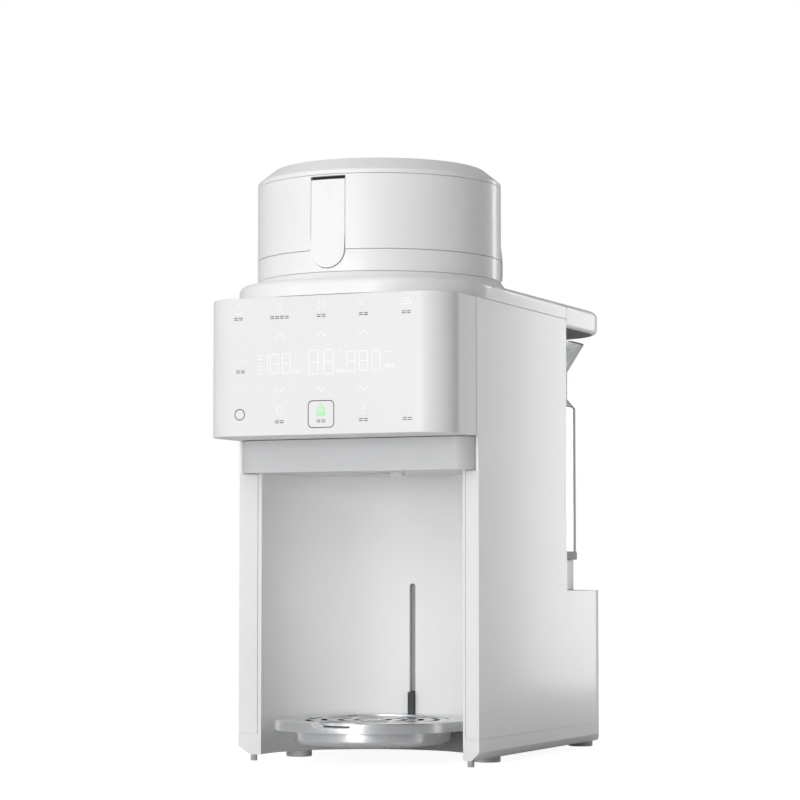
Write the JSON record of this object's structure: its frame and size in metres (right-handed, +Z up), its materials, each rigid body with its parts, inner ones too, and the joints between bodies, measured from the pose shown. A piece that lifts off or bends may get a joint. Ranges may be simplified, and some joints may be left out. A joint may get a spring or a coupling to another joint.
{
  "type": "baby formula maker",
  "caption": "Countertop machine that doses milk powder and warm water into a bottle in its front bay, with a round powder hopper on top and a clear water tank behind.",
  "frame": {"origin": "middle of the width and depth at counter level", "axes": "+Z up, -Y towards the user at the front, +X to the user's right"},
  "size_m": [0.195, 0.36, 0.4457],
  "materials": {
    "housing_white": "moulded white ABS with a fine satin sheen",
    "panel_white": "painted white plastic, smooth",
    "inner_grey": "light grey moulded plastic",
    "food_plastic": "food-grade polypropylene",
    "disc_blue": "pale blue acetal",
    "gear_acetal": "cream acetal gear",
    "dark_plastic": "dark grey moulded plastic",
    "black_plastic": "black flame-retardant plastic",
    "polished_steel": "pressed stainless steel, polished",
    "plain_steel": "plain steel",
    "motor_can": "zinc-plated motor can",
    "heater_alloy": "cast aluminium",
    "board_green": "circuit board with solder mask",
    "foot_rubber": "grey rubber",
    "silicone": "translucent silicone",
    "tank_clear": "clear borosilicate glass"
  },
  "bodies": {
    "housing": {"base_frame": "housing_white", "base_screws": "plain_steel", "foot_pads": "foot_rubber", "front_pegs": "foot_rubber", "left_side_shell": "housing_white", "right_side_shell": "housing_white", "bay_liner": "housing_white", "rear_deck_plate": "housing_white", "niche_liner": "housing_white", "heater_pedestal": "inner_grey", "brow": "housing_white", "visor_shell": "panel_white", "touch_board": "board_green", "display_module": "black_plastic", "top_deck": "housing_white", "powder_chute": "food_plastic", "water_nozzle": "food_plastic", "nozzle_hose": "silicone", "drive_motor": "motor_can", "flow_heater": "heater_alloy", "heater_saddles": "dark_plastic", "pump": "dark_plastic", "pump_cradle": "foot_rubber", "suction_hose": "silicone", "transfer_hose": "silicone", "control_board": "board_green", "power_inlet": "black_plastic", "tray_rods": "plain_steel", "rod_bracket": "inner_grey", "tank_hinge_pins": "plain_steel"},
    "pinion": {"drive_pinion": "gear_acetal"},
    "tray": {"tray_carriage": "dark_plastic", "slot_shield": "housing_white", "drip_pan": "polished_steel", "tray_plate": "polished_steel"},
    "grate": {"drip_grate": "polished_steel"},
    "hopper": {"hopper_bowl": "housing_white", "scraper_plate": "food_plastic"},
    "rotor": {"rotor_shaft": "plain_steel", "dosing_disc": "disc_blue", "dosing_gear": "gear_acetal", "stirrer": "food_plastic"},
    "lid": {"lid_shell": "housing_white", "lid_crown": "housing_white", "lid_gasket": "silicone", "latch_pins": "plain_steel", "latch_springs": "plain_steel"},
    "front_latch": {"latch_front": "housing_white"},
    "right_latch": {"latch_right": "housing_white"},
    "left_latch": {"latch_left": "housing_white"},
    "water_lid": {"tank_lid": "housing_white", "tank_lid_plug": "dark_plastic"},
    "tank": {"tank_jug": "tank_clear", "tank_foot_ring": "dark_plastic", "tank_valve": "food_plastic", "float_guide": "inner_grey"}
  },
  "joints": [
    {"name": "tray_height", "type": "slide", "parent": "housing", "child": "tray", "axis": [0, 0, 1], "range_m": [0, 0.08]},
    {"name": "grate_lift", "type": "slide", "parent": "tray", "child": "grate", "axis": [0, 0, 1], "range_m": [0, 0.05]},
    {"name": "hopper_lift", "type": "slide", "parent": "housing", "child": "hopper", "axis": [0, 0, 1], "range_m": [0, 0.11]},
    {"name": "rotor_spin", "type": "hinge", "parent": "hopper", "child": "rotor", "pos_m": [0, -0.078, 0.28], "axis": [0, 0, 1], "continuous": true},
    {"name": "pinion_spin", "type": "hinge", "parent": "housing", "child": "pinion", "pos_m": [0, -0.02985, 0.26], "axis": [0, 0, 1], "continuous": true},
    {"name": "lid_lift", "type": "slide", "parent": "hopper", "child": "lid", "axis": [0, 0, 1], "range_m": [0, 0.06]},
    {"name": "front_latch_rock", "type": "hinge", "parent": "lid", "child": "front_latch", "pos_m": [0, -0.1635, 0.4016], "axis": [-1, 0, 0], "range_deg": [0, 8], "stiffness_Nm_per_rad": 0.4},
    {"name": "right_latch_rock", "type": "hinge", "parent": "lid", "child": "right_latch", "pos_m": [0.07404, -0.03525, 0.4016], "axis": [0.5, -0.866, 0], "range_deg": [0, 8], "stiffness_Nm_per_rad": 0.4},
    {"name": "left_latch_rock", "type": "hinge", "parent": "lid", "child": "left_latch", "pos_m": [-0.07404, -0.03525, 0.4016], "axis": [0.5, 0.866, 0], "range_deg": [0, 8], "stiffness_Nm_per_rad": 0.4},
    {"name": "tank_lid_swing", "type": "hinge", "parent": "housing", "child": "water_lid", "pos_m": [0, 0.0685, 0.3498], "axis": [1, 0, 0], "range_deg": [0, 85]},
    {"name": "tank_slide", "type": "slide", "parent": "housing", "child": "tank", "axis": [0, 1, 0], "range_m": [0, 0.14]}
  ],
  "couplings": [
    {"joint": "pinion_spin", "follows": "rotor_spin", "ratio": -3}
  ]
}
